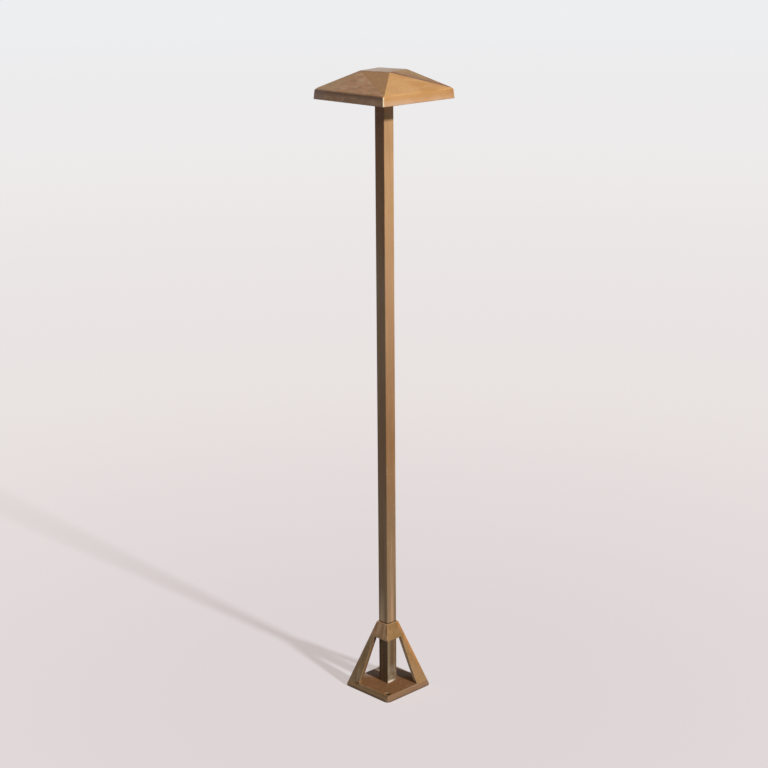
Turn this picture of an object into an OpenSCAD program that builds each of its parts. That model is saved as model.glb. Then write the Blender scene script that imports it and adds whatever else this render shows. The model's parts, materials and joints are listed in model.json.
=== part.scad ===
// Square garden post light: a cast hat over a lens and bi-pin lamp, on a
// tube post that stands in an open pyramid base.
// The origin is the centre of the base's underside, and +Z points up the post.
// The base's two legs stand on the corners (-X, -Y) and (+X, +Y).

/* [Post] */
// Width of the square tube
stem_w = 19.05; // [16:0.05:24]
// Wall of the tube
stem_wall = 1.6; // [1.2:0.1:2.4]
// Outer corner radius of the tube
stem_r = 1; // [0.4:0.1:1.5]
// Length of the tube
stem_len = 887; // [400:1:1200]

/* [Base casting] */
// Width of the base
base_w = 90; // [84:0.5:120]
// Height of the upright edge round the base
base_edge_h = 4; // [2:0.5:5]
// Height of the floor that the post stands on
base_floor_h = 10; // [9:0.5:13]
// Radius of the two open corners of the floor
base_corner_r = 6; // [3:0.5:8]
// Thickness of the legs
leg_wall = 6; // [4:0.25:7]
// Thickness of the outer edge below the floor
base_rim_t = 3.5; // [2.5:0.25:4.5]
// Thickness of the floor
base_floor_t = 3.5; // [3:0.25:4.5]
// Height of the whole casting
base_h = 108; // [90:1:150]
// Width of the casting's top
collar_w = 23.4; // [22.5:0.1:28]
// Height of the solid collar that holds the post
collar_h = 23.5; // [14:0.5:30]
// Distance from the middle of a side to its leg, at the floor
leg_gap_foot = 20.5; // [14:0.5:26]
// Distance from the middle of a side to its leg, under the collar
leg_gap_head = 9.3; // [4:0.1:11]
// Depth of the recess that the post stands in
stem_seat = 1; // [0.5:0.1:1.2]

/* [Fixing down] */
// Circle that the two screw holes lie on
mount_pcd = 100; // [92:0.5:104]
// Diameter of a screw hole
mount_hole_d = 5; // [4:0.1:5.5]
// Diameter of its countersink
mount_sink_d = 9.6; // [8:0.1:11]
// Diameter of the boss under each screw hole
mount_boss_d = 13; // [11.5:0.5:14]

/* [Foot of the post] */
// Height of the plug inside the tube
foot_plug_h = 14; // [8:1:24]
// Diameter of the threaded nipple
nipple_d = 10; // [9:0.1:11]
// Bore of the nipple, where the supply lead enters
nipple_bore = 6.6; // [5:0.1:7]
// Thickness of the washer under the floor
foot_washer_t = 1; // [0.8:0.1:1.2]
// Diameter of the washer under the floor
foot_washer_d = 20; // [17:0.5:24]
// Width across flats of the nut
foot_nut_af = 15; // [13:0.5:18]
// Height of the nut
foot_nut_h = 3; // [2.4:0.1:3.2]

/* [Hat casting] */
// Width of the hat across the bottom of its skirt
hat_w = 141.4; // [130:0.2:180]
// How much the skirt draws in on each side
hat_draft = 1.1; // [0.4:0.1:2]
// Height of the skirt
skirt_h = 14.4; // [10:0.2:18]
// Height of the roof above the skirt
roof_h = 26.1; // [22:0.1:34]
// Width of the flat top
hat_top_w = 47.9; // [40:0.1:60]
// Turn of the flat top against the skirt
hat_twist = 12.5; // [0:0.5:16]
// Wall of the hat
hat_wall = 2.5; // [2:0.1:3.5]
// Diameter of the bosses inside the hat
hat_boss_d = 9; // [8:0.5:11]
// Height of the bosses inside the hat
hat_boss_h = 4; // [4:0.5:6]

/* [Hat posts] */
// Distance from the middle to each post, along X and along Y
post_pitch = 16; // [15.5:0.1:17]
// Diameter of a post
post_d = 4.5; // [4:0.1:5]
// Length of a post up to its shoulder
post_len = 37.8; // [37:0.1:50]
// Diameter of the threaded end of a post
post_thread_d = 3; // [2.5:0.1:3.5]
// Length of the threaded end of a post
post_thread_len = 5; // [4:0.5:6]
// Width of the reflector
reflector_w = 54; // [44:1:58]
// Thickness of the reflector sheet
reflector_t = 1; // [0.6:0.1:1.5]

/* [Lamp hub] */
// Width of the square hub
hub_w = 48; // [46:0.5:52]
// Thickness of the hub
hub_h = 7; // [6:0.5:9]
// Corner radius of the hub
hub_r = 4; // [1:0.5:5]
// Length of the spigot inside the tube
hub_spigot_h = 18; // [12:1:30]
// Bore for the leads
hub_bore = 7; // [6.5:0.1:8]
// Outer diameter of the threaded seat for the lens
seat_d = 31; // [30.5:0.1:32]
// Height of the threaded seat for the lens
seat_h = 5; // [4:0.5:5.5]

/* [Thumb screws] */
// Thread diameter of a thumb screw
thumb_d = 4; // [3:0.1:4]
// Diameter of a thumb screw's head
thumb_head_d = 10; // [8:0.5:11]
// Length of a thumb screw's head
thumb_head_h = 7; // [4:0.5:9]
// Number of ridges round the head
thumb_ridges = 20; // [12:1:28]
// Thickness of the nylon washer
thumb_washer_t = 1; // [0.6:0.1:1.5]
// Diameter of the nylon washer
thumb_washer_d = 8.6; // [7:0.1:9]

/* [Lens] */
// Outer diameter of the lens
lens_d = 24; // [22:0.5:24.5]
// Wall of the lens
lens_wall = 1.6; // [1.2:0.1:2]
// Height of the lens
lens_h = 25.6; // [24.5:0.1:27]
// Outer radius at the shoulder of the lens
lens_shoulder_r = 4; // [3:0.5:6]
// Diameter of the lens flange
lens_flange_d = 27; // [26.5:0.1:27.4]
// Thickness of the lens flange
lens_flange_t = 2; // [1.5:0.1:2.2]
// Thickness of the gasket under the lens
gasket_t = 1.5; // [1:0.1:2]
// Outer diameter of the ring that holds the lens
ring_d = 36; // [35:0.5:37]
// Height of the ring that holds the lens
ring_h = 6.6; // [5.6:0.1:7.5]
// Number of grip notches round the ring
ring_notches = 24; // [12:1:36]

/* [Lamp and leads] */
// Diameter of the lamp socket
socket_d = 11; // [10:0.1:11.4]
// Height of the lamp socket
socket_h = 9.5; // [8.5:0.1:10]
// Distance between the two lamp pins
pin_pitch = 4; // [4:0.1:4.2]
// Diameter of a lamp pin
pin_d = 0.7; // [0.6:0.05:0.8]
// Length of a lamp pin
pin_len = 6.5; // [6:0.1:7]
// Diameter of the lamp's foot
lamp_d = 12; // [10:0.5:12]
// Height of the lamp above its socket
lamp_h = 16; // [16:0.1:17]
// Diameter of a lead
lead_d = 2; // [1.6:0.1:2]
// Diameter of a splice
splice_d = 5.2; // [4.4:0.1:5.4]
// Length of a splice
splice_len = 18; // [14:1:24]

/* [Hidden] */
$fn = 64;

// Clearances: a sliding fit, a screw in its hole, and a cut past a face
slide_gap = 0.1;
screw_gap = 0.1;
free_gap = 0.3;
eps = 1;

// Post and base
stem_in = stem_w - 2 * stem_wall;
stem_z = base_floor_h - stem_seat;
stem_top = stem_z + stem_len;
window_top = base_h - collar_h;
base_slope = (base_h - base_edge_h) / ((base_w - collar_w) / 2);
leg_t = leg_wall * sqrt(1 + 1 / pow(base_slope, 2));
pocket_h = base_floor_h - base_floor_t;
rib_t = 2.5;
rib_from = foot_washer_d / 2 + 1;
plug_w = stem_in - 2 * slide_gap;
nipple_z = pocket_h - foot_washer_t - foot_nut_h - 0.5;

// Screws that hold the collar and the hub on the tube
collar_screw_d = 5;
collar_screw_z = window_top + collar_h / 2;
hub_screw_d = 4;
hub_screw_len = 4.6;
hub_screw_z = stem_top - hub_spigot_h / 2;

// Hub, posts and hat
hub_top = stem_top + hub_h;
post_floor_t = 2;
post_z = stem_top + post_floor_t;
post_top = post_z + post_len;
hat_h = skirt_h + roof_h;
hat_z = post_top + reflector_t + hat_boss_h + hat_wall - hat_h;
eave_w = hat_w - 2 * hat_draft;
roof_slope = roof_h / ((eave_w - hat_top_w) / 2);
roof_t = hat_wall * sqrt(1 + pow(roof_slope, 2));
inner_eave_z = skirt_h + hat_wall * roof_slope - roof_t;
inner_top_w = hat_top_w - 2 * (roof_t - hat_wall) / roof_slope;
thumb_z = stem_top + hub_h / 2;
thumb_reach = hub_w / 2 - post_pitch - post_d / 2 - free_gap;

// Lens, ring and lamp
recess_d = lens_flange_d + 2 * 0.2;
flange_z = hub_top + gasket_t;
lens_in_r = lens_d / 2 - lens_wall;
ring_z = hub_top + 0.4;
ring_lip_t = 1.8;
thread_gap = 0.1;
socket_z = hub_top - socket_h;
lamp_z = hub_top + 0.3;
lamp_foot_h = 4;
lamp_cap_h = 1.6;
lamp_core_af = 8.6;
contact_d = 2.2;
contact_len = 7;
lead_x = pin_pitch / 2;
splice_z = stem_z + foot_plug_h + 20;
splice_step = splice_len + 6;

// Colours
BRONZE = [0.62, 0.45, 0.29];
BRONZE_DARK = [0.42, 0.31, 0.22];
BRONZE_LIGHT = [0.74, 0.56, 0.36];

// Square with round corners
module rounded_square(w, r) {
    square([w - 2 * r, w], center = true);
    square([w, w - 2 * r], center = true);
    for (x = [-1, 1], y = [-1, 1])
        translate([x * (w / 2 - r), y * (w / 2 - r)]) circle(r);
}

// Corners of a square at height z, turned by angle a, from (-X, -Y) counter-clockwise
function square_at(w, z, a = 0) = [
    for (i = [0:3]) let (t = 45 + 90 * i + 180 + a) [w / sqrt(2) * cos(t), w / sqrt(2) * sin(t), z]
];

// Straight-sided frustum from width w0 at z0 to width w1 at z1
module frustum(w0, z0, w1, z1) {
    polyhedron(
        points = concat(square_at(w0, z0), square_at(w1, z1)),
        faces = concat([[0, 1, 2, 3], [7, 6, 5, 4]],
            [for (i = [0:3]) [i, i + 4, (i + 1) % 4 + 4, (i + 1) % 4]]));
}

// Prism from an angled corner: it takes away one open corner of the base.
// The corner stands at (-e0, e0) at the floor and at (-e1, e1) under the collar.
module open_corner(e0, z0, e1, z1, far) {
    polyhedron(
        points = [
            [-e0, -far, z0], [far, -far, z0], [far, e0, z0], [-e0, e0, z0],
            [-e1, -far, z1], [far, -far, z1], [far, e1, z1], [-e1, e1, z1]],
        faces = [[0, 1, 2, 3], [7, 6, 5, 4], [0, 4, 5, 1], [1, 5, 6, 2], [2, 6, 7, 3], [3, 7, 4, 0]]);
}

// Hip-roofed solid whose top square is turned against its eaves.
// Each eave corner joins two corners of the top, so every side is two triangles.
module twisted_roof(w0, z0, w1, z1, top_w, z2, a) {
    polyhedron(
        points = concat(square_at(w0, z0), square_at(w1, z1), square_at(top_w, z2, a)),
        faces = concat([[0, 1, 2, 3], [11, 10, 9, 8]],
            [for (i = [0:3]) let (j = (i + 1) % 4) [i, i + 4, j + 4, j]],
            [for (i = [0:3]) let (j = (i + 1) % 4) [i + 4, i + 8, j + 4]],
            [for (i = [0:3]) let (j = (i + 1) % 4) [i + 8, j + 8, j + 4]]));
}

// Places its children at the two faces hidden from the front, with +X pointing outward
module on_back_faces() {
    rotate([0, 0, 180]) children();
    rotate([0, 0, 90]) children();
}

// Places its children at the four hat posts
module at_posts() {
    for (x = [-1, 1], y = [-1, 1]) translate([x * post_pitch, y * post_pitch, 0]) children();
}

// Socket set screw of length len whose tip is at x0, along +X
module set_screw(d, len, x0) {
    translate([x0, 0, 0]) rotate([0, 90, 0]) difference() {
        cylinder(d = d, h = len);
        translate([0, 0, len - d / 2]) cylinder(d = d * 0.58, h = d, $fn = 6);
    }
}

module base_solid() {
    translate([-base_w / 2, -base_w / 2, 0]) cube([base_w, base_w, base_edge_h]);
    frustum(base_w, base_edge_h, collar_w, base_h);
}

function base_w_at(z) = base_w - 2 * (z - base_edge_h) / base_slope;

module base_casting() {
    color(BRONZE) difference() {
        union() {
            difference() {
                base_solid();
                frustum(base_w_at(base_floor_h) - 2 * leg_t, base_floor_h,
                    base_w_at(window_top) - 2 * leg_t, window_top);
                for (a = [0, 180]) rotate([0, 0, a])
                    open_corner(leg_gap_foot, base_floor_h, leg_gap_head, window_top, base_w);
                underside_pocket();
                open_corner_rounding();
            }
            underside_ribs();
        }
        stem_socket();
        for (a = [-45, 135]) rotate([0, 0, a]) translate([mount_pcd / 2, 0, 0]) mount_hole();
        on_back_faces() translate([0, 0, collar_screw_z]) rotate([0, 90, 0])
            cylinder(d = collar_screw_d + 2 * screw_gap, h = base_w / 2);
    }
}

// What is taken off the floor's two open corners to round them
module open_corner_rounding() {
    c = base_w / 2 - base_corner_r;
    for (a = [-90, 90]) rotate([0, 0, a]) translate([c, c, -eps]) difference() {
        cube([base_w, base_w, base_floor_h + 2 * eps]);
        cylinder(r = base_corner_r, h = base_floor_h + 2 * eps);
    }
}

module underside_pocket() {
    w = base_w - 2 * base_rim_t;
    translate([-w / 2, -w / 2, -eps]) cube([w, w, pocket_h + eps]);
}

// Bosses under the screw holes and ribs that run to the corners
module underside_ribs() {
    for (a = [-45, 135]) rotate([0, 0, a]) translate([mount_pcd / 2, 0, 0])
        cylinder(d = mount_boss_d, h = pocket_h + base_floor_t / 2);
    for (a = [45:90:315]) rotate([0, 0, a])
        translate([rib_from, -rib_t / 2, pocket_h / 3])
            cube([mount_pcd / 2 - rib_from, rib_t, pocket_h * 2 / 3 + base_floor_t / 2]);
}

// Recess for the post in the floor, the square way through the collar, and the nipple's hole
module stem_socket() {
    w = stem_w + 2 * slide_gap;
    translate([-w / 2, -w / 2, stem_z]) cube([w, w, base_h]);
    translate([0, 0, -eps]) cylinder(d = nipple_d + 2 * screw_gap, h = base_floor_h);
}

module mount_hole() {
    sink = (mount_sink_d - mount_hole_d) / 2;
    translate([0, 0, -eps]) cylinder(d = mount_hole_d, h = base_floor_h + 2 * eps);
    translate([0, 0, base_floor_h - sink])
        cylinder(d1 = mount_hole_d, d2 = mount_sink_d + 2 * eps, h = sink + eps);
}

module stem_tube() {
    color(BRONZE) difference() {
        translate([0, 0, stem_z]) linear_extrude(stem_len) difference() {
            rounded_square(stem_w, stem_r);
            square(stem_in, center = true);
        }
        on_back_faces() translate([stem_in / 2 - eps, 0, hub_screw_z]) rotate([0, 90, 0])
            cylinder(d = hub_screw_d + 2 * screw_gap, h = stem_wall + 2 * eps);
    }
}

module stem_foot() {
    color(BRONZE_DARK) difference() {
        union() {
            translate([0, 0, stem_z]) linear_extrude(foot_plug_h) rounded_square(plug_w, stem_r);
            translate([0, 0, nipple_z]) cylinder(d = nipple_d, h = stem_z - nipple_z + eps);
        }
        translate([0, 0, nipple_z - eps]) cylinder(d = nipple_bore, h = foot_plug_h + base_floor_h);
    }
}

module foot_washer() {
    color("silver") translate([0, 0, pocket_h - foot_washer_t]) difference() {
        cylinder(d = foot_washer_d, h = foot_washer_t);
        translate([0, 0, -eps])
            cylinder(d = nipple_d + 2 * screw_gap, h = foot_washer_t + 2 * eps);
    }
}

module foot_nut() {
    color(BRONZE_LIGHT) translate([0, 0, pocket_h - foot_washer_t - foot_nut_h]) difference() {
        cylinder(d = foot_nut_af / cos(30), h = foot_nut_h, $fn = 6);
        translate([0, 0, -eps]) cylinder(d = nipple_d + 2 * thread_gap, h = foot_nut_h + 2 * eps);
    }
}

// Rubber bushing in the nipple's mouth, with a lip under its end
module inlet_bushing() {
    bore = nipple_bore - 1.6;
    color("dimgray") difference() {
        union() {
            translate([0, 0, nipple_z - 0.8]) cylinder(d = nipple_d - 0.6, h = 0.8);
            translate([0, 0, nipple_z - eps / 2]) cylinder(d = nipple_bore - 2 * slide_gap, h = 6);
        }
        translate([0, 0, nipple_z - 2]) cylinder(d = bore, h = 10);
    }
}

module collar_screws() {
    x0 = stem_w / 2 + 0.05;
    color("dimgray") on_back_faces() translate([0, 0, collar_screw_z])
        set_screw(collar_screw_d, base_w_at(collar_screw_z) / 2 - x0 - 0.6, x0);
}

// One lead is longer, so that the two splices lie one above the other
module lead_wires() {
    for (i = [0, 1]) {
        z0 = splice_z + i * splice_step + splice_len;
        color(i == 0 ? "firebrick" : "black") translate([(2 * i - 1) * lead_x, 0, z0])
            cylinder(d = lead_d, h = socket_z - z0);
    }
}

module lead_splices() {
    color("whitesmoke") for (i = [0, 1])
        translate([(2 * i - 1) * lead_x, 0, splice_z + i * splice_step]) {
            cylinder(d = splice_d, h = splice_len - 2);
            translate([0, 0, splice_len - 2]) cylinder(d1 = splice_d, d2 = lead_d + 1, h = 2);
        }
}

module lamp_hub() {
    color(BRONZE_LIGHT) difference() {
        union() {
            translate([0, 0, stem_top]) linear_extrude(hub_h) rounded_square(hub_w, hub_r);
            translate([0, 0, hub_top - eps]) cylinder(d = seat_d, h = seat_h + eps);
            translate([0, 0, stem_top - hub_spigot_h])
                linear_extrude(hub_spigot_h + eps) rounded_square(plug_w, stem_r);
        }
        translate([0, 0, stem_top - hub_spigot_h - eps]) cylinder(d = hub_bore, h = hub_spigot_h * 2);
        translate([0, 0, socket_z]) cylinder(d = socket_d + 2 * slide_gap, h = socket_h + eps);
        translate([0, 0, hub_top]) cylinder(d = recess_d, h = seat_h + eps);
        at_posts() translate([0, 0, post_z]) cylinder(d = post_d + 2 * slide_gap, h = hub_h);
        at_thumbs() rotate([0, -90, 0]) translate([0, 0, -eps])
            cylinder(d = thumb_d + 2 * screw_gap, h = hub_w / 2 - post_pitch + eps);
        on_back_faces() translate([hub_bore / 2 - eps, 0, hub_screw_z]) rotate([0, 90, 0])
            cylinder(d = hub_screw_d + 2 * screw_gap, h = stem_w);
    }
}

// Places its children at the hub's side where each thumb screw enters, +X outward
module at_thumb(side) {
    if (side == "left")
        translate([-hub_w / 2, -post_pitch, thumb_z]) rotate([0, 0, 180]) children();
    else
        translate([post_pitch, hub_w / 2, thumb_z]) rotate([0, 0, 90]) children();
}

module at_thumbs() {
    for (side = ["left", "right"]) at_thumb(side) children();
}

module hub_screws() {
    color("dimgray") on_back_faces() translate([0, 0, hub_screw_z])
        set_screw(hub_screw_d, hub_screw_len, stem_w / 2 - hub_screw_len - 0.2);
}

module lamp_socket() {
    color("ivory") difference() {
        translate([0, 0, socket_z]) cylinder(d = socket_d, h = socket_h);
        for (x = [-lead_x, lead_x]) translate([x, 0, socket_z - eps]) {
            cylinder(d = contact_d + 2 * slide_gap, h = contact_len + eps);
            cylinder(d = pin_d + 0.7, h = socket_h + 2 * eps);
        }
    }
}

module socket_contacts() {
    color("gold") for (x = [-lead_x, lead_x]) translate([x, 0, socket_z]) difference() {
        cylinder(d = contact_d, h = contact_len);
        translate([0, 0, 1]) cylinder(d = pin_d + 0.5, h = contact_len);
    }
}

module lens_gasket() {
    color("orangered") translate([0, 0, hub_top]) difference() {
        cylinder(d = lens_flange_d, h = gasket_t);
        translate([0, 0, -eps]) cylinder(r = lens_in_r + 0.6, h = gasket_t + 2 * eps);
    }
}

// Half profile of a closed tube of radius r and height h with a round shoulder
module jar_profile(r, h, shoulder) {
    square([r, h - shoulder]);
    square([r - shoulder, h]);
    intersection() {
        translate([r - shoulder, h - shoulder]) circle(shoulder);
        square([r, h]);
    }
}

module lens_glass() {
    color([0.8, 0.9, 0.9, 0.5]) translate([0, 0, flange_z]) rotate_extrude() difference() {
        union() {
            jar_profile(lens_d / 2, lens_h, lens_shoulder_r);
            square([lens_flange_d / 2, lens_flange_t]);
        }
        translate([0, -eps])
            jar_profile(lens_in_r, lens_h - lens_wall + eps, lens_shoulder_r - lens_wall);
    }
}

module lens_ring() {
    shoulder_z = flange_z + lens_flange_t + 0.1 - ring_z;
    color(BRONZE_LIGHT) translate([0, 0, ring_z]) difference() {
        rotate_extrude() difference() {
            square([ring_d / 2, ring_h]);
            translate([0, -eps]) square([lens_d / 2 + free_gap, ring_h + 2 * eps]);
            translate([0, -eps]) square([lens_flange_d / 2, shoulder_z + eps]);
            translate([0, -eps])
                square([seat_d / 2 + thread_gap, ring_h - ring_lip_t + eps]);
        }
        for (i = [0:ring_notches - 1]) rotate([0, 0, 360 / ring_notches * i])
            translate([ring_d / 2 + 0.7, 0, -eps]) cylinder(r = 1.2, h = ring_h - 1 + eps, $fn = 24);
    }
}

module lamp_body() {
    color("white") translate([0, 0, lamp_z]) {
        cylinder(d = lamp_d, h = lamp_foot_h);
        cylinder(d = lamp_core_af / cos(22.5), h = lamp_h - lamp_cap_h / 2, $fn = 8);
        translate([0, 0, lamp_h - lamp_cap_h]) cylinder(d = lamp_d - 1, h = lamp_cap_h);
    }
}

module lamp_pins() {
    color("silver") for (x = [-lead_x, lead_x])
        translate([x, 0, lamp_z - pin_len]) cylinder(d = pin_d, h = pin_len, $fn = 24);
}

// Two rows of light-emitting chips on the eight flats of the lamp
module lamp_chips() {
    chip = [0.8, 2.4, 4.2];
    color("khaki") for (i = [0:7], row = [0, 1]) rotate([0, 0, 22.5 + 45 * i])
        translate([lamp_core_af / 2, -chip[1] / 2, lamp_z + lamp_foot_h + 0.8 + row * (chip[2] + 0.8)])
            cube(chip);
}

module hat_shell() {
    color(BRONZE) translate([0, 0, hat_z]) difference() {
        union() {
            difference() {
                twisted_roof(hat_w, 0, eave_w, skirt_h, hat_top_w, hat_h, hat_twist);
                hat_hollow();
            }
            at_posts() translate([0, 0, hat_h - hat_wall - hat_boss_h])
                cylinder(d = hat_boss_d, h = hat_boss_h + hat_wall / 2);
        }
        at_posts() translate([0, 0, hat_h - hat_wall - hat_boss_h - eps])
            cylinder(d = post_thread_d + 2 * screw_gap, h = post_thread_len - reflector_t + 0.3 + eps);
    }
}

// Space inside the hat, run out a little below the skirt
module hat_hollow() {
    w0 = hat_w - 2 * hat_wall;
    w1 = eave_w - 2 * hat_wall;
    low = w0 + (w0 - w1) / inner_eave_z * eps;
    twisted_roof(low, -eps, w1, inner_eave_z, inner_top_w, hat_h - hat_wall, hat_twist);
}

module reflector() {
    color("whitesmoke") translate([0, 0, post_top]) linear_extrude(reflector_t) difference() {
        rounded_square(reflector_w, 4);
        at_posts() circle(d = post_thread_d + 2 * screw_gap);
    }
}

module hat_posts() {
    color(BRONZE_LIGHT) at_posts() {
        translate([0, 0, post_z]) cylinder(d = post_d, h = post_len);
        translate([0, 0, post_top - eps]) cylinder(d = post_thread_d, h = post_thread_len + eps);
    }
}

// Outline of a straight knurl: n ridges on a circle of radius r
module knurl_outline(r, n, depth) {
    polygon([for (i = [0:2 * n - 1]) let (q = r - (i % 2) * depth, t = 180 / n * i)
        [q * cos(t), q * sin(t)]]);
}

module thumb_washer(side) {
    color("whitesmoke") at_thumb(side) rotate([0, 90, 0]) difference() {
        cylinder(d = thumb_washer_d, h = thumb_washer_t);
        translate([0, 0, -eps]) cylinder(d = thumb_d + 0.4, h = thumb_washer_t + 2 * eps);
    }
}

module thumb_screw(side) {
    color(BRONZE_LIGHT) at_thumb(side) rotate([0, 90, 0]) {
        translate([0, 0, -thumb_reach]) cylinder(d = thumb_d, h = thumb_reach + thumb_washer_t + eps);
        translate([0, 0, thumb_washer_t]) cylinder(d = thumb_washer_d - 0.6, h = thumb_head_h + 0.6);
        translate([0, 0, thumb_washer_t + 0.6]) linear_extrude(thumb_head_h - 0.6)
            knurl_outline(thumb_head_d / 2, thumb_ridges, 0.4);
    }
}

base_casting();
stem_tube();
stem_foot();
foot_washer();
foot_nut();
inlet_bushing();
collar_screws();
lead_wires();
lead_splices();
lamp_hub();
hub_screws();
lamp_socket();
socket_contacts();
lens_gasket();
lens_glass();
lens_ring();
lamp_body();
lamp_pins();
lamp_chips();
hat_shell();
reflector();
hat_posts();
thumb_washer("left");  // thumb_washer_left
thumb_screw("left");  // thumb_screw_left
thumb_washer("right");  // thumb_washer_right
thumb_screw("right");  // thumb_screw_right
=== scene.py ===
"""Garden post light: finishes, cast surfaces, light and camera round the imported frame."""
import json
import math

import bmesh
import bpy
from mathutils import Matrix, Vector


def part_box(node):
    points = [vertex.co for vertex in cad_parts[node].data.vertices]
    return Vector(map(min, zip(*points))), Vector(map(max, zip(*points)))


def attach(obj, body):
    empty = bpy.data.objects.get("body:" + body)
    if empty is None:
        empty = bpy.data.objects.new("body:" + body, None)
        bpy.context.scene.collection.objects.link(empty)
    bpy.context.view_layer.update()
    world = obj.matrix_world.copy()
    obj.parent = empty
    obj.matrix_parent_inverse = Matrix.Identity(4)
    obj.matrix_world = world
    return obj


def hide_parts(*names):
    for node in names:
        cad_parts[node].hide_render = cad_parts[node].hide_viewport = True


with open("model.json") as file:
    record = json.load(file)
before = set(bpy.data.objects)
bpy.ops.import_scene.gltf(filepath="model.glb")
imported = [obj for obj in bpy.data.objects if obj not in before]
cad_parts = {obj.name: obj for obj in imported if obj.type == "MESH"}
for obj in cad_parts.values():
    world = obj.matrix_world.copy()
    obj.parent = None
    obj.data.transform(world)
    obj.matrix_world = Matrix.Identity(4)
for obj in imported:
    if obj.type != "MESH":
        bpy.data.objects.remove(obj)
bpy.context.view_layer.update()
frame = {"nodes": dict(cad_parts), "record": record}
NODES = frame["nodes"]

MM = 0.001

# Camera: where it stood for the photograph, in metres and degrees, seen from the post's foot. The
# sensor's width is in millimetres
CAMERA_AZIMUTH = 45.503
CAMERA_DISTANCE = 2.5109
CAMERA_HEIGHT = 1.2045
CAMERA_YAW = 0.0658
CAMERA_PITCH = 15.988
CAMERA_ROLL = -0.4106
FOCAL_PIXELS = 1774.4
FRAME_PIXELS = 768
SENSOR = 36.0
CLIP_END = 200.0

# Light: the way to the key lamp, its width in degrees, its strength, how far off it is put, and the
# room's fill
KEY_AZIMUTH = 88.0
KEY_ELEVATION = 26.0
KEY_WIDTH = 4.5
KEY_STRENGTH = 3.4
KEY_DISTANCE = 3.0
FILL_STRENGTH = 0.10
FILL_COLOUR = (0.92, 0.98, 1.07)

# Floor: what it is to the light, how much deeper the eye sees its shadows, and the pale tones that
# it shows at some distances from the post. The backdrop goes on where the last tone ends
FLOOR_SIZE = 80.0
FLOOR_GREY = (0.23, 0.235, 0.25)
SHADOW_DEPTH = 1.5
FLOOR_TONES = (
    (0.3, (0.730, 0.672, 0.672)),
    (1.6, (0.812, 0.761, 0.753)),
    (5.0, (0.847, 0.823, 0.823)),
    (12.0, (0.847, 0.856, 0.871)),
)
BACKDROP = FLOOR_TONES[-1][1]

# The ground that the base covers: half its width, its corner radius and how soft its edge is
FOOTPRINT = 44.5 * MM
FOOTPRINT_CORNER = 7.5 * MM
FOOTPRINT_BLUR = 0.4 * MM

# Levels above the ground in the model: the base's upright rim and its floor, the collar's foot and
# top, and the line where the roof meets the skirt
RIM_TOP = 4.0 * MM
FLOOR_TOP = 10.0 * MM
COLLAR_FOOT = 84.5 * MM
COLLAR_TOP = 108.0 * MM
EAVE = 917.2 * MM

# Half the collar's width at its top, the two screw holes and how far round them edges stay hard
COLLAR_HALF = 11.7 * MM
SCREW_HOLES = ((35.4 * MM, -35.4 * MM), (-35.4 * MM, 35.4 * MM))
SCREW_REACH = 7.0 * MM

# The flat top's front corner, and the ways across the two shallow facets beside it
TOP_CORNER = (0.02857, -0.01820, 0.9433)
ACROSS_RIGHT_FACET = (-0.8217, 0.4798, 0.3086)
ACROSS_LEFT_FACET = (0.198, -0.893, -0.4046)

# The bronze is mostly patina, so hardly any of it shines as bare metal does
PATINA_METAL = 0.08

# Soft corners of the castings: how wide they are, from how sharp a turn in degrees, in how many
# steps, and which short edges keep their corner
HAT_SOFTNESS, HAT_TURN = 1.8 * MM, 7.0
BASE_SOFTNESS, BASE_TURN = 1.4 * MM, 50.0
CORNER_STEPS = 3
SHORT_EDGE = 8.0 * MM

# How near a casting's outline its outside edges lie, how near the hat's foot its rim edges lie, and
# how far over the floor the base's floor edges go
HAT_SIDE_SKIN, HAT_TOP_SKIN = 1.4 * MM, 0.5 * MM
BASE_SKIN = 2.0 * MM
HAT_RIM = 1.0 * MM
FLOOR_LIP = 2.0 * MM

# Shares of the full softness: the hat's rim and inside, the base's legs and collar, and its inside
HAT_THIN_SHARE = 0.45
LEG_SHARE = 0.55
BASE_INNER_SHARE = 0.3

# Points nearer than WELD become one, faces that turn by less than FLAT_TURN degrees become one, and
# shading breaks at SHARP_TURN
WELD = 0.002 * MM
FLAT_TURN = 0.6
SHARP_TURN = 25.0

# Finishes of one tone: two colours that it lies between, roughness, and other settings
PLAIN = {
    "contact_brass": ((214, 176, 100), (230, 196, 128), 0.25, {"Metallic": 1.0}),
    "zinc_steel": ((160, 162, 164), (190, 190, 188), 0.34, {"Metallic": 1.0}),
    "dark_steel": ((44, 42, 40), (70, 66, 62), 0.42, {"Metallic": 0.9}),
    "pin_steel": ((196, 196, 196), (216, 214, 210), 0.22, {"Metallic": 1.0}),
    "black_rubber": ((26, 26, 26), (42, 41, 40), 0.72, {}),
    "silicone": ((150, 52, 34), (172, 66, 44), 0.5, {}),
    "lead_sleeve": ((34, 32, 32), (52, 48, 46), 0.5, {}),
    "splice_nylon": ((212, 208, 196), (228, 225, 214), 0.42, {}),
    "socket_ceramic": ((214, 206, 188), (232, 226, 212), 0.6, {}),
    "lamp_white": ((226, 226, 220), (238, 238, 234), 0.3, {}),
    "lamp_phosphor": ((226, 190, 84), (238, 208, 110), 0.3, {"Coat Weight": 0.6}),
    "white_sheet": ((222, 222, 218), (234, 234, 230), 0.4, {}),
}


def srgb(r, g, b):
    """A colour read on a 0 to 255 screen scale, as linear light."""
    def linear(c):
        c /= 255.0
        return c / 12.92 if c <= 0.04045 else ((c + 0.055) / 1.055) ** 2.4
    return (linear(r), linear(g), linear(b), 1.0)


# Node trees

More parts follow.
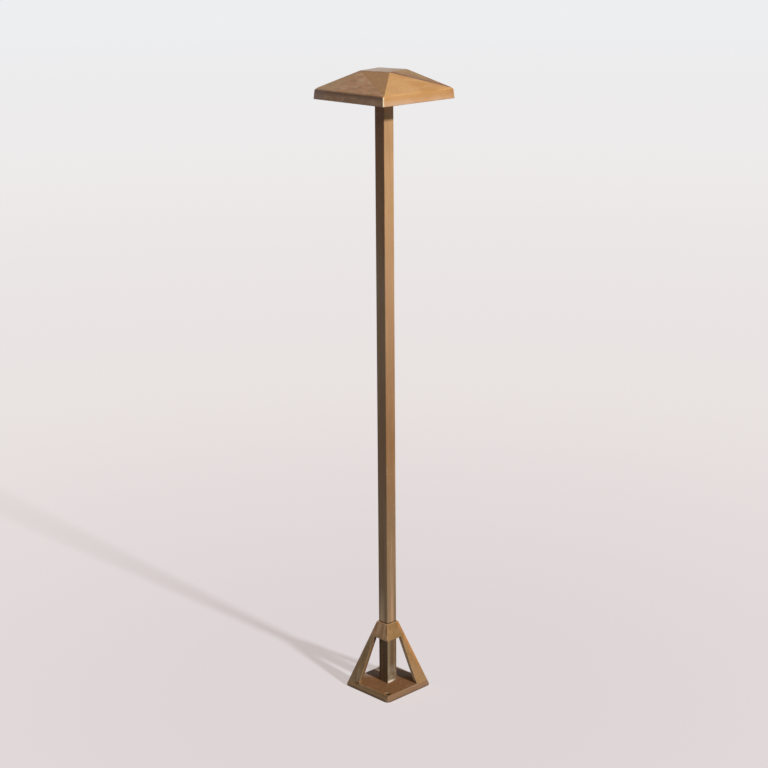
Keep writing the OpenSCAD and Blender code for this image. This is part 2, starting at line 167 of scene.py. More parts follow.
class Shader:
    """A material's node tree with short ways to add what the finishes here need."""

    def __init__(self, name, settings):
        self.material = bpy.data.materials.new(name)
        self.material.use_nodes = True
        self.tree = self.material.node_tree
        self.tree.nodes.clear()
        self.out = self.add("ShaderNodeOutputMaterial")
        self.bsdf = self.add("ShaderNodeBsdfPrincipled")
        self.link(self.bsdf.outputs[0], self.out.inputs["Surface"])
        for socket, value in settings.items():
            self.bsdf.inputs[socket].default_value = value
        coords = self.add("ShaderNodeTexCoord")
        self.place, self.facing = coords.outputs["Object"], coords.outputs["Normal"]

    def add(self, kind, **values):
        node = self.tree.nodes.new(kind)
        for key, value in values.items():
            setattr(node, key, value)
        return node

    def link(self, a, b):
        self.tree.links.new(a, b)

    def put(self, value, socket):
        """Sets or links value into socket."""
        if isinstance(value, bpy.types.NodeSocket):
            self.link(value, socket)
        else:
            socket.default_value = value

    def stretched(self, x, y, z):
        """Places scaled by x, y and z, for noise of size 1."""
        node = self.add("ShaderNodeMapping")
        node.inputs["Scale"].default_value = (x, y, z)
        self.link(self.place, node.inputs["Vector"])
        return node.outputs["Vector"]

    def noise(self, size, detail, rough, distort=0.0, place=None):
        """Noise whose patches are about size metres wide."""
        node = self.add("ShaderNodeTexNoise")
        self.link(place or self.place, node.inputs["Vector"])
        node.inputs["Scale"].default_value = 1.0 / size
        node.inputs["Detail"].default_value = detail
        node.inputs["Roughness"].default_value = rough
        node.inputs["Distortion"].default_value = distort
        return node.outputs["Fac"]

    def pits(self, size, reach):
        """1 in scattered specks about size metres apart, 0 elsewhere."""
        node = self.add("ShaderNodeTexVoronoi")
        self.link(self.place, node.inputs["Vector"])
        node.inputs["Scale"].default_value = 1.0 / size
        return self.steps(node.outputs["Distance"], reach * 0.4, reach, 1.0, 0.0)

    def steps(self, value, low, high, to_low=0.0, to_high=1.0):
        """to_low where value is low and to_high where it is high, held beyond both."""
        node = self.add("ShaderNodeMapRange")
        node.clamp = True
        for socket, v in zip(("Value", "From Min", "From Max", "To Min", "To Max"),
                             (value, low, high, to_low, to_high)):
            self.put(v, node.inputs[socket])
        return node.outputs["Result"]

    def math(self, operation, a, b=0.0):
        node = self.add("ShaderNodeMath", operation=operation)
        self.put(a, node.inputs[0])
        self.put(b, node.inputs[1])
        return node.outputs[0]

    def times(self, *factors):
        total = factors[0]
        for factor in factors[1:]:
            total = self.math("MULTIPLY", total, factor)
        return total

    def away(self, x, y):
        """Distance in plan from the upright line through x, y."""
        node = self.add("ShaderNodeVectorMath", operation="MULTIPLY")
        node.inputs[1].default_value = (1.0, 1.0, 0.0)
        self.link(self.place, node.inputs[0])
        gap = self.add("ShaderNodeVectorMath", operation="DISTANCE")
        gap.inputs[1].default_value = (x, y, 0.0)
        self.link(node.outputs["Vector"], gap.inputs[0])
        return gap.outputs["Value"]

    def beyond(self, point, way):
        """How far, in metres, a place lies past point in the direction way."""
        gap = self.add("ShaderNodeVectorMath", operation="SUBTRACT")
        gap.inputs[1].default_value = point
        self.link(self.place, gap.inputs[0])
        dot = self.add("ShaderNodeVectorMath", operation="DOT_PRODUCT")
        dot.inputs[1].default_value = way
        self.link(gap.outputs["Vector"], dot.inputs[0])
        return dot.outputs["Value"]

    def mix(self, factor, a, b):
        """Colour a at factor 0, colour b at 1."""
        node = self.add("ShaderNodeMix", data_type="RGBA", blend_type="MIX")
        self.put(factor, node.inputs["Factor"])
        self.put(a, node.inputs[6])
        self.put(b, node.inputs[7])
        return node.outputs[2]

    def over(self, body, colour, *factors):
        """body with colour laid over it, as much as the factors' product says."""
        return self.mix(self.times(*factors), body, colour)

    def mix_value(self, factor, a, b):
        node = self.add("ShaderNodeMix", data_type="FLOAT")
        for socket, value in zip((0, 2, 3), (factor, a, b)):
            self.put(value, node.inputs[socket])
        return node.outputs[0]

    def edges(self, radius):
        """1 along sharp outer edges, fading over radius metres."""
        bevel = self.add("ShaderNodeBevel", samples=6)
        bevel.inputs["Radius"].default_value = radius
        flat = self.add("ShaderNodeNewGeometry")
        dot = self.add("ShaderNodeVectorMath", operation="DOT_PRODUCT")
        self.link(bevel.outputs["Normal"], dot.inputs[0])
        self.link(flat.outputs["Normal"], dot.inputs[1])
        return self.steps(dot.outputs["Value"], 0.999, 0.93)

    def xyz(self, vector):
        split = self.add("ShaderNodeSeparateXYZ")
        self.link(vector, split.inputs[0])
        return split.outputs

    def above(self, level, low, high):
        """0 at low and 1 at high, both in millimetres above level."""
        return self.steps(self.xyz(self.place)["Z"], level + low * MM, level + high * MM)

    def front_corner(self):
        """High on what faces the front corner, between +X and -Y."""
        facing = self.xyz(self.facing)
        return self.math("MINIMUM", facing["X"], self.times(facing["Y"], -1.0))

    def ramp(self, value, stops):
        """A colour that runs through (value, colour) stops."""
        last = stops[0][1]
        for (low, _), (high, colour) in zip(stops, stops[1:]):
            last = self.mix(self.steps(value, low, high), last, colour)
        return last

    def bump(self, layers):
        """Stacks (height, depth in metres) layers of bump into the shader's normal."""
        last = None
        for height, depth in layers:
            node = self.add("ShaderNodeBump")
            node.inputs["Distance"].default_value = depth
            self.link(height, node.inputs["Height"])
            if last:
                self.link(last.outputs["Normal"], node.inputs["Normal"])
            last = node
        self.link(last.outputs["Normal"], self.bsdf.inputs["Normal"])

    def colour(self, value):
        self.put(value, self.bsdf.inputs["Base Color"])

    def rough(self, value):
        self.put(value, self.bsdf.inputs["Roughness"])


# Finishes

def hat_bronze():
    """The hat's sand-cast bronze, painted golden on the side that the sun reaches and browner and
    mottled on the others as painted light and shade, duller on the four shallow facets, with a
    painted pale sheen on the flat top, painted shade under the eaves and a rubbed corner painted
    bright as a highlight."""
    s = Shader("hat_bronze", {"Metallic": PATINA_METAL, "Specular IOR Level": 0.35})
    place, facing = s.xyz(s.place), s.xyz(s.facing)
    broad = s.noise(0.050, 3.0, 0.5, 0.6)
    patch = s.noise(0.017, 4.0, 0.55, 1.2)
    streak = s.noise(1.0, 4.0, 0.55, 1.0, s.stretched(26.0, 26.0, 200.0))
    stroke = s.noise(1.0, 3.0, 0.5, 1.4, s.stretched(44.0, 80.0, 150.0))
    speck = s.noise(0.0030, 3.0, 0.6)
    grain = s.noise(0.0009, 2.0, 0.6)
    sunny = s.steps(facing["X"], 0.42, 0.52)

    # The large roofs: a golden painted lit tone where they face the sun and a browner painted shade
    # tone on the others, with mottled strokes
    gold = s.mix(s.steps(streak, 0.36, 0.64), srgb(203, 151, 89), srgb(187, 131, 67))
    gold = s.over(gold, srgb(208, 158, 100), s.steps(broad, 0.50, 0.70, 0.0, 0.6))
    brown = s.mix(s.steps(broad, 0.38, 0.62), srgb(196, 142, 98), srgb(182, 128, 84))
    brown = s.over(brown, srgb(206, 176, 136), s.steps(stroke, 0.54, 0.70, 0.0, 0.75))
    brown = s.over(brown, srgb(142, 106, 68), s.steps(stroke, 0.46, 0.32, 0.0, 0.75))
    brown = s.over(brown, srgb(168, 142, 104),
                   s.steps(place["X"], -12.0 * MM, -48.0 * MM, 0.0, 0.5))
    body = s.mix(sunny, brown, gold)

    # The shallow facets, each with a dark line along one edge
    right = s.beyond(TOP_CORNER, ACROSS_RIGHT_FACET)
    left = s.beyond(TOP_CORNER, ACROSS_LEFT_FACET)
    greyed = s.mix(s.steps(right, 8.0 * MM, 24.0 * MM), srgb(140, 96, 42), srgb(147, 110, 56))
    shallow = s.mix(s.steps(facing["X"], 0.10, 0.38), srgb(162, 111, 52), greyed)
    shallow = s.over(shallow, srgb(184, 146, 104), s.steps(patch, 0.50, 0.68, 0.0, 0.45))
    body = s.over(body, shallow, s.steps(facing["Z"], 0.868, 0.895))
    right_line = s.times(s.steps(facing["X"], 0.30, 0.37), s.steps(right, 6.0 * MM, 2.5 * MM),
                         s.steps(right, -1.5 * MM, -0.5 * MM))
    left_line = s.times(s.steps(facing["Y"], -0.15, -0.30), s.steps(left, 4.0 * MM, 1.5 * MM),
                        s.steps(facing["X"], 0.30, 0.20), 0.6)
    body = s.over(body, srgb(116, 62, 20), s.math("MAXIMUM", right_line, left_line),
                  s.steps(facing["Z"], 0.86, 0.88), s.steps(patch, 0.30, 0.50, 0.7, 0.95))

    # The skirt: painted in separate tones for its shaded and sunny sides as painted light and
    # shade, with painted shade just under the eaves on the shaded side, duller at its two far ends,
    # pale low on its sunny side
    skirt = s.steps(facing["Z"], 0.5, 0.3)
    bright, dim = s.times(skirt, sunny), s.times(skirt, s.steps(sunny, 0.6, 0.2))
    shaded = s.mix(s.steps(patch, 0.42, 0.60), srgb(176, 132, 98), srgb(206, 164, 130))
    body = s.over(body, shaded, dim, 0.9)
    body = s.over(body, srgb(186, 134, 86), bright, 0.4)
    # Painted shade: a darker band just under the eaves on the shaded skirt
    body = s.over(body, srgb(118, 80, 52), dim, s.above(EAVE, -8.0, -3.0),
                  s.steps(patch, 0.30, 0.55, 0.5, 1.0), 0.9)
    body = s.over(body, srgb(158, 132, 126), dim, s.steps(place["X"], -40.0 * MM, -66.0 * MM), 0.6)
    body = s.over(body, srgb(160, 104, 54), bright, s.steps(place["Y"], 50.0 * MM, 70.0 * MM), 0.5)
    body = s.over(body, srgb(204, 162, 126), bright, s.above(EAVE, -6.0, -11.0),
                  s.steps(broad, 0.35, 0.6, 0.3, 0.9))

    # Specks all over, a painted sheen on the flat top and the rubbed corner painted bright as a
    # highlight
    body = s.over(body, srgb(128, 92, 60), s.steps(speck, 0.60, 0.78, 0.0, 0.28))
    body = s.over(body, srgb(220, 186, 140), s.steps(grain, 0.3, 0.7, 0.0, 0.10))
    body = s.over(body, srgb(92, 64, 42), s.pits(0.0085, 0.13), 0.4)
    # Painted reflection: a pale sheen on the flat top
    painted_top_sheen = s.mix(s.steps(place["X"], 2.0 * MM, 12.0 * MM), srgb(199, 172, 149),
                  srgb(178, 142, 108))
    painted_top_sheen = s.over(painted_top_sheen, srgb(174, 138, 106), s.steps(patch, 0.55, 0.40, 0.0, 0.5))
    body = s.over(body, painted_top_sheen, s.steps(facing["Z"], 0.955, 0.995), 0.9)
    # Painted highlight: the front corner rubbed and painted bright
    body = s.over(body, srgb(252, 232, 192), s.steps(s.front_corner(), 0.16, 0.46),
                  s.steps(facing["Z"], 0.50, 0.25), s.steps(speck, 0.25, 0.55, 0.6, 1.0))
    s.colour(body)
    s.rough(s.steps(patch, 0.3, 0.7, 0.36, 0.50))
    s.bump([(broad, 0.5 * MM), (streak, 0.10 * MM), (speck, 0.07 * MM), (grain, 0.03 * MM)])
    return s.material


def base_bronze():
    """The base's sand-cast bronze: duller and olive, painted in one tone on the side that the sun
    reaches and a paler one on the others as painted light and shade, with brown earth dried on its
    floor and along its rim, the legs' cut sides painted dark where they face the sun and pale where
    they face away as painted shade and light, painted highlights and shade along its edges, painted
    shade in the screw holes, and a worn pale front corner."""
    s = Shader("base_bronze", {"Metallic": PATINA_METAL, "Specular IOR Level": 0.2})
    place, facing = s.xyz(s.place), s.xyz(s.facing)
    broad = s.noise(0.030, 3.0, 0.5, 0.5)
    patch = s.noise(0.011, 4.0, 0.55, 0.8)
    streak = s.noise(1.0, 4.0, 0.55, 0.6, s.stretched(120.0, 120.0, 18.0))
    speck = s.noise(0.0028, 3.0, 0.6)
    grain = s.noise(0.0009, 2.0, 0.6)
    sunny = s.steps(facing["X"], 0.35, 0.75)

    # Rails, legs and collar: a painted lit tone on the side that the sun reaches and a paler tone
    # on the others, as painted light and shade, paler still on the collar's shaded side
    shade = s.mix(s.steps(streak, 0.38, 0.62), srgb(178, 146, 110), srgb(148, 116, 78))
    collar = s.mix(s.steps(streak, 0.40, 0.60), srgb(216, 172, 130), srgb(178, 134, 94))
    shade = s.over(shade, collar, s.above(COLLAR_FOOT, -2.5, 5.5))
    bright = s.mix(s.steps(broad, 0.40, 0.60), srgb(151, 115, 75), srgb(132, 98, 55))
    bright = s.over(bright, srgb(172, 124, 80), s.steps(streak, 0.54, 0.72, 0.0, 0.6))
    body = s.mix(sunny, shade, bright)
    body = s.over(body, srgb(118, 94, 60), s.steps(patch, 0.44, 0.28, 0.0, 0.55))
    # Painted shade and light: the legs' cut sides dark where they face the sun and pale where they
    # face away
    painted_cut_side = s.mix(s.steps(facing["X"], 0.0, 0.4), srgb(236, 216, 184), srgb(112, 84, 60))
    body = s.over(body, painted_cut_side, s.steps(facing["Z"], -0.06, -0.12),
                  s.above(FLOOR_TOP, 2.0, 6.0))
    body = s.over(body, srgb(100, 70, 46), s.steps(speck, 0.56, 0.74, 0.0, 0.40))

    # Earth on the floor, and painted light in the shadow behind the tube
    earth = s.mix(s.steps(speck, 0.36, 0.66), srgb(148, 105, 66), srgb(132, 91, 57))
    earth = s.over(earth, srgb(166, 126, 92), s.steps(patch, 0.58, 0.72, 0.0, 0.5))
    earth = s.over(earth, srgb(98, 66, 40), s.steps(patch, 0.40, 0.28, 0.0, 0.5))
    lying = s.times(s.steps(facing["Z"], 0.80, 0.96), s.above(FLOOR_TOP, 30.0, 10.0))
    body = s.over(body, earth, lying)
    # Painted light: the floor paler where the shadow falls behind the tube
    painted_light_behind_tube = s.steps(s.math("SUBTRACT", place["Y"], place["X"]), 8.0 * MM, 24.0 * MM)
    body = s.over(body, srgb(186, 164, 146), lying, painted_light_behind_tube, 0.6)

    # The rim: in separate tones for its shaded and sunny sides as painted light and shade, with
    # painted shade where it meets the ground
    rim = s.times(s.above(FLOOR_TOP, 0.2, -1.2), s.steps(facing["Z"], 0.80, 0.60))
    body = s.over(body, s.mix(sunny, srgb(170, 134, 94), srgb(129, 97, 73)), rim, 0.8)
    # Painted shade along the rim's foot
    body = s.over(body, srgb(70, 50, 36), rim, s.above(RIM_TOP, -1.0, -2.8), 0.7)
    body = s.over(body, srgb(70, 48, 32), s.pits(0.0070, 0.15), 0.45)

    # Edges: rubbed and painted bright as highlights where the sun reaches them and round the
    # collar's top, painted dark as shade elsewhere
    edges = s.edges(0.9 * MM)
    outside = s.times(s.steps(place["X"], 0.0, 10.0 * MM), s.steps(facing["Y"], -0.50, -0.25))
    highlit_edges = s.math("MAXIMUM", outside, s.above(COLLAR_TOP, -2.0, -1.0))
    # Painted highlight on the sunny edges, painted shade on the others
    body = s.over(body, srgb(198, 156, 116), edges, highlit_edges,
                  s.steps(patch, 0.30, 0.60, 0.25, 0.75))
    body = s.over(body, srgb(116, 90, 52), edges, s.steps(highlit_edges, 0.5, 0.0),
                  s.above(COLLAR_TOP, -8.0, -18.0), 0.7)

    # A painted orange highlight down the right leg's outer edge, and an olive line of painted shade
    # along the left rim's lip
    outer = s.steps(s.math("SUBTRACT", place["X"], place["Y"]), 7.0 * MM, 2.0 * MM)
    body = s.over(body, srgb(196, 128, 66), outer, s.steps(facing["X"], 0.3, 0.6),
                  s.above(FLOOR_TOP, 10.0, 35.0), s.steps(streak, 0.30, 0.50, 0.5, 1.0), 0.6)
    # Painted shade: a dark olive line along the shaded rim's lip
    lip = s.times(s.above(FLOOR_TOP, -2.0, -0.7), s.above(FLOOR_TOP, 3.0, 1.2),
                  s.steps(facing["Y"], -0.25, -0.45), s.steps(facing["Z"], 0.95, 0.85))
    body = s.over(body, srgb(98, 76, 42), lip, s.steps(place["X"], -29.0 * MM, -25.0 * MM), 0.85)

    # The worn front corner, and painted shade in the screw holes
    body = s.over(body, srgb(138, 114, 94), s.steps(s.front_corner(), 0.15, 0.45),
                  s.above(FLOOR_TOP, 1.0, -0.5), 0.8)
    # Painted shade: dark in the screw holes
    for x, y in SCREW_HOLES:
        body = s.over(body, srgb(58, 38, 22), s.steps(s.away(x, y), 3.8 * MM, 3.1 * MM))
    s.colour(body)
    s.rough(s.mix_value(lying, s.steps(patch, 0.3, 0.7, 0.44, 0.58), 0.85))
    s.bump([(broad, 0.4 * MM), (speck, 0.10 * MM), (grain, 0.03 * MM)])
    return s.material


def tube_bronze():
    """Drawn tube: smoother, with faint streaks along its length. The sunny side is painted golden
    under the hat and duller below, and the others are painted darker as shade, darkest at the top
    under the hat; inside the base it is soiled and painted darker as shade, with painted
    reflections above the collar and a worn pale foot."""
    s = Shader("tube_bronze", {"Metallic": PATINA_METAL, "Specular IOR Level": 0.28})
    place, facing = s.xyz(s.place), s.xyz(s.facing)
    along = s.noise(1.0, 4.0, 0.6, 0.0, s.stretched(170.0, 170.0, 7.0))
    broad = s.noise(0.10, 3.0, 0.5, 0.2)
    patch = s.noise(0.014, 4.0, 0.6, 0.3)
    speck = s.noise(0.0030, 3.0, 0.6)
    grain = s.noise(1.0, 2.0, 0.6, 0.0, s.stretched(1400.0, 1400.0, 60.0))
    sunny = s.steps(facing["X"], 0.3, 0.7)

    # Tones by height, in metres: a painted lit tone on the sunny side and a painted shade tone on
    # the others, darkest at the top under the hat, with the back sides drawn towards the lit tone
    light = s.ramp(place["Z"], ((0.12, srgb(140, 114, 86)), (0.24, srgb(132, 105, 74)),
                                (0.40, srgb(136, 96, 58)), (0.62, srgb(174, 133, 94)),
                                (0.86, srgb(196, 152, 104))))
    dark = s.ramp(place["Z"], ((0.12, srgb(180, 148, 110)), (0.40, srgb(151, 117, 82)),
                               (0.62, srgb(166, 138, 106)), (0.80, srgb(140, 97, 56)),
                               (0.88, srgb(115, 72, 40))))
    behind = s.math("MAXIMUM", s.steps(facing["X"], -0.3, -0.7, 0.0, 0.7),
                    s.steps(facing["Y"], 0.3, 0.7, 0.0, 0.7))
    body = s.mix(s.math("MAXIMUM", sunny, behind), dark, light)
    body = s.over(body, srgb(160, 118, 80), s.steps(broad, 0.42, 0.66, 0.0, 0.35))
    body = s.over(body, srgb(124, 92, 62), s.steps(along, 0.50, 0.70, 0.0, 0.40))
    body = s.over(body, srgb(204, 168, 126), s.steps(along, 0.42, 0.26, 0.0, 0.30))
    body = s.over(body, srgb(184, 160, 126), s.steps(patch, 0.58, 0.76, 0.0, 0.20))

    # Painted reflections above the collar: a light and a dark band on the sunny side, a light one
    # beside it
    low = s.times(s.above(COLLAR_TOP, 92.0, 22.0), sunny)
    off_middle = s.math("ABSOLUTE", s.math("ADD", place["Y"], -0.5 * MM))
    body = s.over(body, srgb(184, 142, 104), low, s.steps(off_middle, 4.0 * MM, 0.5 * MM), 0.7)
    body = s.over(body, srgb(104, 80, 52), low, s.steps(place["Y"], 3.0 * MM, 5.0 * MM), 0.5)
    off_side = s.math("ABSOLUTE", s.math("ADD", place["X"], 2.5 * MM))
    body = s.over(body, srgb(244, 208, 164), s.above(COLLAR_TOP, 57.0, 10.0),
                  s.steps(facing["Y"], -0.3, -0.7), s.steps(off_side, 7.5 * MM, 2.0 * MM), 0.85)

    # Soil and painted shade between collar and floor, redder to the right and paler to the left of
    # the sunny side
    soil_and_shade = s.mix(s.steps(along, 0.38, 0.60), srgb(132, 114, 84), srgb(90, 68, 46))
    soil_and_shade = s.over(soil_and_shade, srgb(84, 60, 38), s.steps(speck, 0.45, 0.68, 0.0, 0.6))
    body = s.over(body, soil_and_shade, s.above(COLLAR_FOOT, 5.5, -2.5), 0.9)
    inside = s.times(s.above(COLLAR_FOOT, 3.5, -4.5), sunny)
    body = s.over(body, srgb(104, 62, 38), inside, s.steps(place["Y"], 6.0 * MM, 8.0 * MM), 0.7)
    body = s.over(body, srgb(158, 142, 108), inside, s.steps(place["Y"], -2.0 * MM, -6.0 * MM),
                  0.3)

    # The worn foot, and a dark seam round the collar's top painted as shade in the joint
    edge = s.math("ADD", s.above(FLOOR_TOP, 32.0, 10.0),
                  s.times(s.steps(place["Y"], -5.0 * MM, -8.5 * MM),
                          s.above(FLOOR_TOP, 46.0, 20.0), 0.5))
    body = s.over(body, srgb(158, 142, 124), s.math("MINIMUM", edge, 1.0),
                  s.steps(patch, 0.42, 0.58, 0.1, 1.0), sunny, 0.65)
    body = s.over(body, srgb(222, 206, 190), s.above(FLOOR_TOP, 4.5, 2.5), sunny,
                  s.steps(speck, 0.30, 0.50, 0.5, 1.0), s.steps(place["Y"], 6.0 * MM, 0.0), 0.85)
    # Painted shade in the joint round the collar's top
    body = s.over(body, srgb(66, 46, 30), s.above(COLLAR_TOP, 2.4, 0.8),
                  s.above(COLLAR_TOP, -8.0, -1.0), 0.85)
    s.colour(body)
    s.rough(s.steps(along, 0.3, 0.7, 0.36, 0.50))
    s.bump([(along, 0.04 * MM), (grain, 0.02 * MM)])
    return s.material


def raw_brass():
    """Bare turned brass."""
    s = Shader("raw_brass", {"Metallic": 0.95})
    tone = s.noise(0.006, 3.0, 0.55)
    turned = s.noise(1.0, 2.0, 0.6, 0.0, s.stretched(300.0, 300.0, 2500.0))
    s.colour(s.mix(s.steps(tone, 0.35, 0.7), srgb(184, 144, 84), srgb(212, 176, 112)))
    s.rough(s.steps(tone, 0.3, 0.7, 0.26, 0.42))
    s.bump([(turned, 0.01 * MM)])
    return s.material


def plain(name, low, high, rough, settings):
    """One tone with slight mottling and a fine grain."""
    s = Shader(name, settings)
    tone = s.noise(0.004, 3.0, 0.55)
    grain = s.noise(0.0005, 2.0, 0.6)
    s.colour(s.mix(s.steps(tone, 0.35, 0.7), srgb(*low), srgb(*high)))
    s.rough(s.steps(grain, 0.3, 0.7, rough - 0.05, rough + 0.05))
    s.bump([(grain, 0.01 * MM)])
    return s.material


def lens_glass():
    """Clear glass, slightly frosted."""
    s = Shader("lens_glass", {"Transmission Weight": 1.0, "IOR": 1.47,
                              "Base Color": (0.96, 0.98, 0.97, 1.0)})
    frost = s.noise(0.0012, 2.0, 0.6)
    s.rough(s.steps(frost, 0.3, 0.7, 0.10, 0.18))
    return s.material


def finishes():
    """One material for each material slot of the record."""
    made = {name: plain(name, *tone) for name, tone in PLAIN.items()}
    made.update(cast_bronze=base_bronze(), tube_bronze=tube_bronze(), raw_brass=raw_brass(),
                lens_glass=lens_glass())
    return made


def paint(obj, material):
    obj.data.materials.clear()
    obj.data.materials.append(material)


# Castings

def softened(node, name, body, width, turn, roundness):
    """The CAD casting with its corners rounded off, as foundry sand leaves them. roundness gives an
    edge's share of width from the two ends of the edge. Edges that turn by less than turn degrees
    have none."""
    mesh = NODES[node].data.copy()
    obj = bpy.data.objects.new(name, mesh)
    bpy.context.scene.collection.objects.link(obj)
    bm = bmesh.new()
    bm.from_mesh(mesh)
    bmesh.ops.remove_doubles(bm, verts=bm.verts, dist=WELD)
    bmesh.ops.dissolve_limit(bm, angle_limit=math.radians(FLAT_TURN), verts=bm.verts,
                             edges=bm.edges)
    weight = bm.edges.layers.float.new("bevel_weight_edge")
    for edge in bm.edges:
        if len(edge.link_faces) == 2 and edge.calc_face_angle() > math.radians(turn):
            edge[weight] = roundness(*(v.co for v in edge.verts))
    bm.to_mesh(mesh)
    bm.free()
    bevel = obj.modifiers.new("soft_corners", "BEVEL")
    bevel.limit_method = "WEIGHT"
    bevel.width = width
    bevel.segments = CORNER_STEPS
    bevel.use_clamp_overlap = False
    for face in mesh.polygons:
        face.use_smooth = True
    mesh.set_sharp_from_angle(angle=math.radians(SHARP_TURN))
    flat = obj.modifiers.new("flat_faces", "WEIGHTED_NORMAL")
    flat.weight = 100
    flat.keep_sharp = True
    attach(obj, body)
    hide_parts(node)
    return obj


def hat_roundness(a, b):
    """Full at the eaves, hips and skirt corners, less at the thin lower rim and inside."""
    if (a - b).length < SHORT_EDGE:
        return 0.0
    low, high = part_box("hat_shell")
    def outside(v):
        side = max(abs(v.x), abs(v.y)) > high[0] - HAT_SIDE_SKIN
        return side or v.z > high[2] - HAT_TOP_SKIN
    rim = max(a.z, b.z) < low[2] + HAT_RIM
    return HAT_THIN_SHARE if rim or not (outside(a) and outside(b)) else 1.0


def base_roundness(a, b):
    """Full at the floor's outer edges, less on the legs and the collar, none round the holes."""
    middle = (a + b) / 2
    if min(math.hypot(middle.x - x, middle.y - y) for x, y in SCREW_HOLES) < SCREW_REACH:
        return 0.0
    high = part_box("base_casting")[1]
    def outside(v):
        rise = max(0.0, v.z - RIM_TOP) / (high[2] - RIM_TOP)
        return max(abs(v.x), abs(v.y)) > high[0] + (COLLAR_HALF - high[0]) * rise - BASE_SKIN
    if outside(a) and outside(b):
        return 1.0 if max(a.z, b.z) < FLOOR_TOP + FLOOR_LIP else LEG_SHARE
    return 0.0 if (a - b).length < SHORT_EDGE else BASE_INNER_SHARE


# Stage

def seen(tree):
    """1 for what the camera, gloss and glass look at, 0 for diffuse light."""
    path = tree.nodes.new("ShaderNodeLightPath")
    total = path.outputs["Is Camera Ray"]
    for ray in ("Is Glossy Ray", "Is Transmission Ray"):
        either = tree.nodes.new("ShaderNodeMath")
        either.operation = "MAXIMUM"
        tree.links.new(total, either.inputs[0])
        tree.links.new(path.outputs[ray], either.inputs[1])
        total = either.outputs[0]
    return total


def make_floor():
    """Pale ground that takes the light's shadow, dark where the base stands on it. To the camera it
    glows by what its tones have over its own share of the light."""
    mesh = bpy.data.meshes.new("floor")
    h = FLOOR_SIZE / 2
    mesh.from_pydata([(-h, -h, 0), (h, -h, 0), (h, h, 0), (-h, h, 0)], [], [(0, 1, 2, 3)])
    floor = bpy.data.objects.new("floor", mesh)
    bpy.context.scene.collection.objects.link(floor)
    s = Shader("floor", {})
    s.tree.nodes.remove(s.bsdf)
    ground = s.add("ShaderNodeBsdfDiffuse")
    deep = [grey * SHADOW_DEPTH for grey in FLOOR_GREY]
    s.put(s.mix(seen(s.tree), (*FLOOR_GREY, 1.0), (*deep, 1.0)), ground.inputs["Color"])
    reach = s.add("ShaderNodeVectorMath", operation="LENGTH")
    s.link(s.place, reach.inputs[0])
    down = KEY_STRENGTH * math.sin(math.radians(KEY_ELEVATION)) / math.pi
    lit = [grey * (down + FILL_STRENGTH * fill) for grey, fill in zip(deep, FILL_COLOUR)]
    tones = [(at, (*(c - l for c, l in zip(colour, lit)), 1.0)) for at, colour in FLOOR_TONES]
    tone = s.ramp(reach.outputs["Value"], tones)
    straight = FOOTPRINT - FOOTPRINT_CORNER
    place = s.xyz(s.place)
    past = [s.math("MAXIMUM", s.math("SUBTRACT", s.math("ABSOLUTE", place[axis]), straight), 0.0)
            for axis in "XY"]
    rounded = s.math("SQRT", s.math("ADD", s.times(past[0], past[0]), s.times(past[1], past[1])))
    bare = s.steps(rounded, FOOTPRINT_CORNER - FOOTPRINT_BLUR, FOOTPRINT_CORNER)
    pale = s.add("ShaderNodeEmission")
    s.link(tone, pale.inputs["Color"])
    s.link(s.math("MULTIPLY", seen(s.tree), bare), pale.inputs["Strength"])
    both = s.add("ShaderNodeAddShader")
    s.link(ground.outputs[0], both.inputs[0])
    s.link(pale.outputs[0], both.inputs[1])
    s.link(both.outputs[0], s.out.inputs["Surface"])
    paint(floor, s.material)


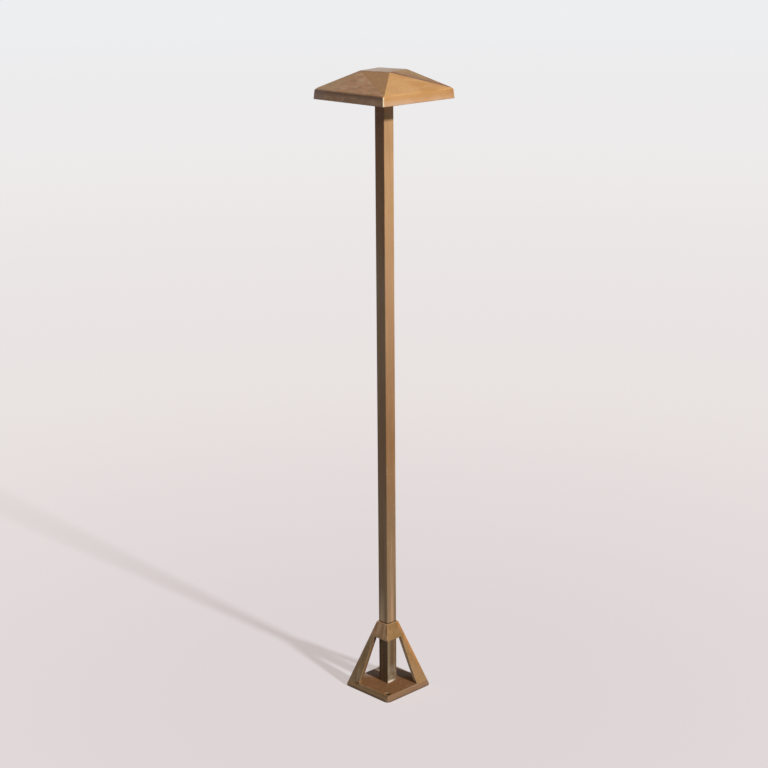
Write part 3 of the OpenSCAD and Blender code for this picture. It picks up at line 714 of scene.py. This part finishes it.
def make_light():
    """One sun and a weak even fill, with the backdrop for what looks past the floor."""
    lamp = bpy.data.lights.new("key", "SUN")
    lamp.energy = KEY_STRENGTH
    lamp.angle = math.radians(KEY_WIDTH)
    key = bpy.data.objects.new("key", lamp)
    bpy.context.scene.collection.objects.link(key)
    a, e = math.radians(KEY_AZIMUTH), math.radians(KEY_ELEVATION)
    way = Vector((math.sin(a) * math.cos(e), -math.cos(a) * math.cos(e), math.sin(e)))
    key.rotation_mode = "QUATERNION"
    key.rotation_quaternion = way.to_track_quat("Z", "Y")
    key.location = way * KEY_DISTANCE
    world = bpy.data.worlds.new("room")
    bpy.context.scene.world = world
    world.use_nodes = True
    tree = world.node_tree
    tree.nodes.clear()
    lights = []
    for colour, strength in ((FILL_COLOUR, FILL_STRENGTH), (BACKDROP, 1.0)):
        light = tree.nodes.new("ShaderNodeBackground")
        light.inputs["Color"].default_value = (*colour, 1.0)
        light.inputs["Strength"].default_value = strength
        lights.append(light)
    mix = tree.nodes.new("ShaderNodeMixShader")
    out = tree.nodes.new("ShaderNodeOutputWorld")
    tree.links.new(seen(tree), mix.inputs["Fac"])
    tree.links.new(lights[0].outputs[0], mix.inputs[1])
    tree.links.new(lights[1].outputs[0], mix.inputs[2])
    tree.links.new(mix.outputs[0], out.inputs["Surface"])


def make_camera():
    """The camera of the photograph."""
    data = bpy.data.cameras.new("camera")
    data.sensor_width = SENSOR
    data.lens = SENSOR * FOCAL_PIXELS / FRAME_PIXELS
    data.clip_end = CLIP_END
    camera = bpy.data.objects.new("camera", data)
    bpy.context.scene.collection.objects.link(camera)
    bpy.context.scene.camera = camera
    a, b = math.radians(CAMERA_AZIMUTH), math.radians(CAMERA_AZIMUTH + CAMERA_YAW)
    pitch, roll = math.radians(CAMERA_PITCH), math.radians(CAMERA_ROLL)
    ahead = Vector((-math.sin(b), math.cos(b), 0.0))
    right = Vector((math.cos(b), math.sin(b), 0.0))
    forward = ahead * math.cos(pitch) - Vector((0, 0, math.sin(pitch)))
    up = ahead * math.sin(pitch) + Vector((0, 0, math.cos(pitch)))
    side = right * math.cos(roll) + up * math.sin(roll)
    top = up * math.cos(roll) - right * math.sin(roll)
    camera.matrix_world = Matrix.Translation((
        CAMERA_DISTANCE * math.sin(a), -CAMERA_DISTANCE * math.cos(a), CAMERA_HEIGHT,
    )) @ Matrix((side, top, -forward)).transposed().to_4x4()


# The camera comes first, then the pieces
make_camera()
make_light()
make_floor()
FINISH = finishes()
SLOT_OF = {row["node"]: row["material_slot"] for row in frame["record"]["subparts"]}
for node_name, node_object in NODES.items():
    paint(node_object, FINISH[SLOT_OF[node_name]])
hat = softened("hat_shell", "hat_casting", "hat", HAT_SOFTNESS, HAT_TURN, hat_roundness)
base = softened("base_casting", "base_open_pyramid", "post", BASE_SOFTNESS, BASE_TURN,
                base_roundness)
for casting, finish in ((hat, hat_bronze()), (base, FINISH["cast_bronze"])):
    paint(casting, finish)

bpy.context.scene.view_settings.view_transform = "Standard"
